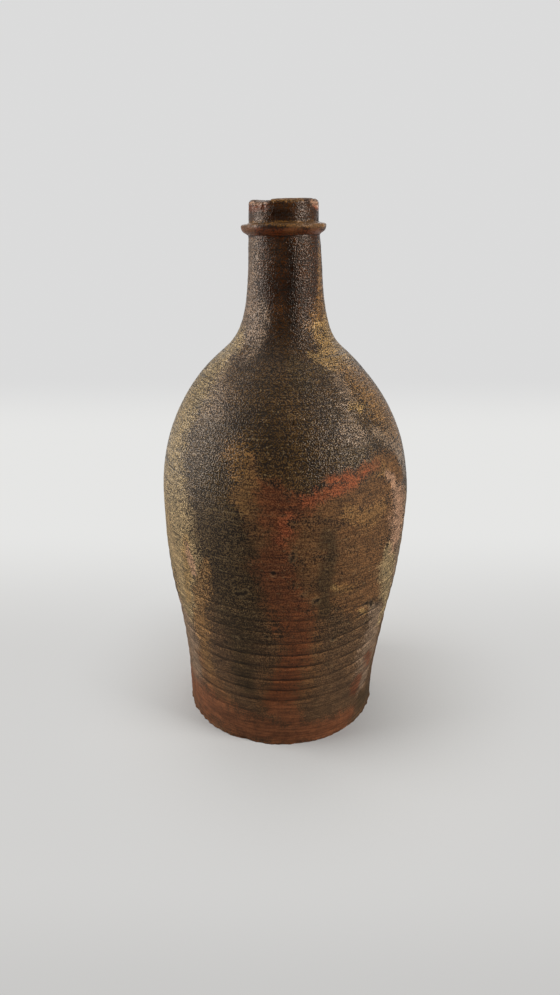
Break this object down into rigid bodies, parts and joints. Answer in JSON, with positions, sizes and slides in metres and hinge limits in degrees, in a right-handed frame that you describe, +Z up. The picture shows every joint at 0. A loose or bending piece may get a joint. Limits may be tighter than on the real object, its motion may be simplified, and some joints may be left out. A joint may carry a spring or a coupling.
{
  "type": "stoneware bottle",
  "caption": "Narrow-necked stoneware bottle with an egg-shaped body, throwing rings on the lower wall and a string ring under the lip.",
  "frame": {"origin": "middle of the flat underside, on the surface that the bottle stands on", "axes": "+Z up along the bottle's axis; -Y is the side that the picture shows, +X is to its right"},
  "size_m": [0.1348, 0.1348, 0.2818],
  "materials": {
    "flashed_body_glaze": "thin semi-gloss ash glaze, brown to olive grey with orange fire flashing and dark speckle",
    "dark_neck_glaze": "dark brown semi-gloss glaze with a fine pebbled surface",
    "worn_ring_glaze": "brown glaze worn to golden tan on the crest"
  },
  "bodies": {
    "root": {"thrown_body": "flashed_body_glaze", "neck": "dark_neck_glaze", "string_ring": "worn_ring_glaze"}
  },
  "joints": []
}
